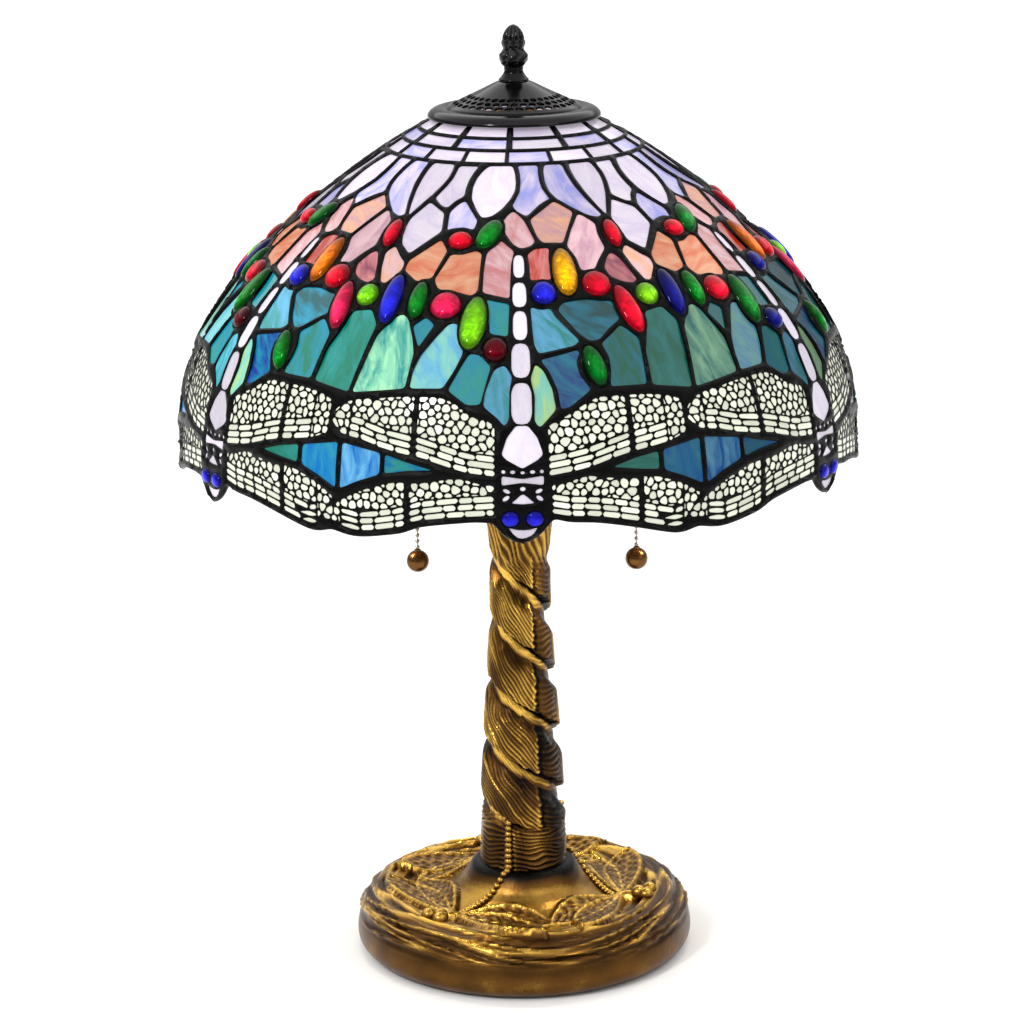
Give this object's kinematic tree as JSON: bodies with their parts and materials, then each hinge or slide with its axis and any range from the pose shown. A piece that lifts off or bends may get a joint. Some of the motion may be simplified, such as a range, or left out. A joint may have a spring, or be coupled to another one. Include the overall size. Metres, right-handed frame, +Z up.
{
  "type": "stained glass table lamp",
  "caption": "Table lamp with a leaded glass dome shade of dragonflies and cabochons, pull-chain sockets, a twisted bark post and a round relief foot.",
  "frame": {"origin": "centre of the underside of the foot, on the table", "axes": "+Z up along the post to the finial, -Y towards the front, +X to the right"},
  "size_m": [0.4532, 0.4614, 0.635],
  "materials": {
    "aged_bronze": "antiqued gold over dark brown recesses",
    "dark_bronze": "dark bronze patina, satin",
    "polished_brass": "satin",
    "zinc_steel": "zinc plated",
    "bead_steel": "small bright beads",
    "ball_bronze": "brown bronze, semi-gloss",
    "felt": "green felt",
    "rubber_black": "matte",
    "cast_weight": "rough cast",
    "wire_insulation": "matte",
    "wire_nut_plastic": "matte",
    "switch_plastic": "moulded phenolic",
    "liner_board": "fibre board",
    "lever_plastic": "moulded",
    "bulb_metal": "bright",
    "bulb_glass": "frosted, warm",
    "glass_lilac": "streaky opalescent, lilac and pale blue",
    "glass_white": "streaky opalescent, white with blue",
    "glass_coral": "streaky opalescent, coral to mauve",
    "glass_jewel_back": "dark seams between cabochons",
    "glass_jewel": "polished cabochons of several colours",
    "glass_teal": "streaky opalescent, teal, green and blue",
    "glass_wing": "cream opalescent under filigree",
    "glass_gap": "streaky opalescent, blue and green",
    "glass_body": "white opalescent",
    "glass_eye": "polished blue cabochons",
    "solder_black": "black patina solder"
  },
  "bodies": {
    "stand": {"foot_casting": "aged_bronze", "foot_weight": "cast_weight", "felt_pad": "felt", "cord_bushing": "rubber_black", "pipe_nut": "polished_brass", "lock_washer": "zinc_steel", "lamp_pipe": "zinc_steel", "supply_wires": "wire_insulation", "post_casting": "aged_bronze", "post_cap": "dark_bronze", "cluster_body": "dark_bronze", "cluster_cover": "dark_bronze", "wire_nuts": "wire_nut_plastic", "left_nipple": "polished_brass", "left_socket_cap": "polished_brass", "left_socket_shell": "polished_brass", "left_socket_liner": "liner_board", "left_switch_housing": "switch_plastic", "left_screw_shell": "bulb_metal", "left_centre_contact": "polished_brass", "left_chain_outlet": "polished_brass", "right_nipple": "polished_brass", "right_socket_cap": "polished_brass", "right_socket_shell": "polished_brass", "right_socket_liner": "liner_board", "right_switch_housing": "switch_plastic", "right_screw_shell": "bulb_metal", "right_centre_contact": "polished_brass", "right_chain_outlet": "polished_brass", "riser_pipe": "zinc_steel", "shade_spider": "polished_brass", "spider_nut": "polished_brass"},
    "shade": {"crown_ring": "polished_brass", "heat_cap": "dark_bronze", "crown_glass": "glass_lilac", "petal_glass": "glass_white", "coral_glass": "glass_coral", "jewel_setting": "glass_jewel_back", "jewels": "glass_jewel", "teal_glass": "glass_teal", "wing_glass": "glass_wing", "wing_gap_glass": "glass_gap", "dragonfly_bodies": "glass_body", "dragonfly_eyes": "glass_eye", "seam_rings": "solder_black", "seam_ribs": "solder_black", "rim_wire": "solder_black"},
    "finial": {"finial": "dark_bronze"},
    "left_bulb": {"left_bulb_base": "bulb_metal", "left_bulb_glass": "bulb_glass"},
    "left_lever": {"left_switch_lever": "lever_plastic"},
    "left_link": {"left_pull_link": "bead_steel"},
    "left_chain": {"left_bead_chain": "bead_steel"},
    "left_ball": {"left_pull_ball": "ball_bronze"},
    "right_bulb": {"right_bulb_base": "bulb_metal", "right_bulb_glass": "bulb_glass"},
    "right_lever": {"right_switch_lever": "lever_plastic"},
    "right_link": {"right_pull_link": "bead_steel"},
    "right_chain": {"right_bead_chain": "bead_steel"},
    "right_ball": {"right_pull_ball": "ball_bronze"}
  },
  "joints": [
    {"name": "shade_turn", "type": "hinge", "parent": "stand", "child": "shade", "pos_m": [0, 0, 0.5563], "axis": [0, 0, 1], "continuous": true},
    {"name": "finial_turn", "type": "hinge", "parent": "stand", "child": "finial", "pos_m": [0, 0, 0.5988], "axis": [0, 0, 1], "continuous": true},
    {"name": "left_bulb_turn", "type": "hinge", "parent": "stand", "child": "left_bulb", "pos_m": [-0.084, 0, 0.4], "axis": [-1, 0, 0], "continuous": true},
    {"name": "left_chain_pull", "type": "slide", "parent": "stand", "child": "left_link", "axis": [0, 0, -1], "range_m": [0, 0.008], "stiffness_N_per_m": 300, "springref_m": -0.003},
    {"name": "left_lever_turn", "type": "hinge", "parent": "stand", "child": "left_lever", "pos_m": [-0.0635, 0, 0.4], "axis": [0, -1, 0], "range_deg": [0, 84]},
    {"name": "left_chain_swing", "type": "hinge", "parent": "left_link", "child": "left_chain", "pos_m": [-0.069, 0, 0.3761], "axis": [0, 1, 0], "range_deg": [-15, 15]},
    {"name": "left_ball_swing", "type": "hinge", "parent": "left_chain", "child": "left_ball", "pos_m": [-0.069, 0, 0.2837], "axis": [1, 0, 0], "range_deg": [-25, 25]},
    {"name": "right_bulb_turn", "type": "hinge", "parent": "stand", "child": "right_bulb", "pos_m": [0.094, 0, 0.4], "axis": [1, 0, 0], "continuous": true},
    {"name": "right_chain_pull", "type": "slide", "parent": "stand", "child": "right_link", "axis": [0, 0, -1], "range_m": [0, 0.008], "stiffness_N_per_m": 300, "springref_m": -0.003},
    {"name": "right_lever_turn", "type": "hinge", "parent": "stand", "child": "right_lever", "pos_m": [0.0735, 0, 0.4], "axis": [0, 1, 0], "range_deg": [0, 84]},
    {"name": "right_chain_swing", "type": "hinge", "parent": "right_link", "child": "right_chain", "pos_m": [0.079, 0, 0.3761], "axis": [0, 1, 0], "range_deg": [-15, 15]},
    {"name": "right_ball_swing", "type": "hinge", "parent": "right_chain", "child": "right_ball", "pos_m": [0.079, 0, 0.2837], "axis": [1, 0, 0], "range_deg": [-25, 25]}
  ],
  "couplings": [
    {"joint": "left_lever_turn", "follows": "left_chain_pull", "rad_per_m": 181.82},
    {"joint": "right_lever_turn", "follows": "right_chain_pull", "rad_per_m": 181.82}
  ]
}
